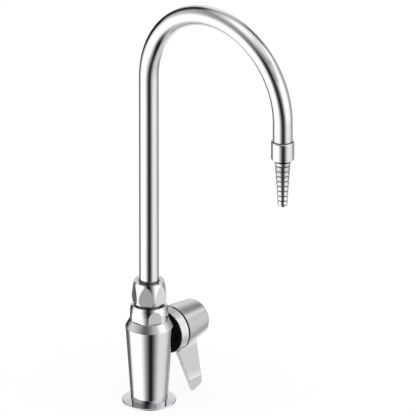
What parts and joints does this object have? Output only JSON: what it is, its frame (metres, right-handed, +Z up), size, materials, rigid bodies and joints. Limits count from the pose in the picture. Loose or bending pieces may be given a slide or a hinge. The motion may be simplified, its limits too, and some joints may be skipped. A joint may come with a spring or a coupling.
{
  "type": "deck-mounted faucet",
  "caption": "Deck-mounted faucet with a turned body, a side lever on a quarter-turn valve, a swivelling gooseneck and a barbed hose nozzle.",
  "frame": {"origin": "centre of the deck face, in the plane under the flange, on the riser's axis", "axes": "+X from the riser to the spout's outlet, +Y along the handle's axis towards the handle, +Z up out of the deck"},
  "size_m": [0.1858, 0.0859, 0.4502],
  "materials": {
    "polished_chrome": "polished",
    "satin_chrome": "satin",
    "black_rubber": "matte",
    "brass": "machined",
    "steel": "plain",
    "ceramic": "lapped",
    "nylon": "moulded"
  },
  "bodies": {
    "root": {"adapter_o_ring": "black_rubber", "base_o_ring": "black_rubber", "bonnet_gasket": "black_rubber", "bonnet_ring": "satin_chrome", "cartridge_housing": "brass", "cartridge_nut": "brass", "cartridge_o_ring": "black_rubber", "cartridge_seal": "black_rubber", "coupling_nut": "polished_chrome", "deck_flange": "polished_chrome", "deck_gasket": "black_rubber", "fixed_disc": "ceramic", "mounting_shank": "brass", "shank_locknut": "brass", "spout_adapter": "polished_chrome", "swivel_washer": "nylon", "underdeck_washer": "steel", "valve_body": "polished_chrome"},
    "gooseneck": {"gooseneck_tube": "polished_chrome", "swivel_ferrule": "brass", "swivel_o_rings": "black_rubber", "serrated_nozzle": "polished_chrome", "nozzle_washer": "black_rubber"},
    "handle": {"handle_lever": "satin_chrome", "cartridge_spindle": "brass", "moving_disc": "ceramic", "spindle_o_ring": "black_rubber", "spindle_clip": "steel", "handle_screw": "steel", "handle_cap": "satin_chrome"}
  },
  "joints": [
    {"name": "spout_swivel", "type": "hinge", "parent": "root", "child": "gooseneck", "pos_m": [0, 0, 0.1], "axis": [0, 0, 1], "continuous": true},
    {"name": "handle_turn", "type": "hinge", "parent": "root", "child": "handle", "pos_m": [0, 0.0465, 0.0578], "axis": [0, -1, 0], "range_deg": [0, 90]}
  ]
}
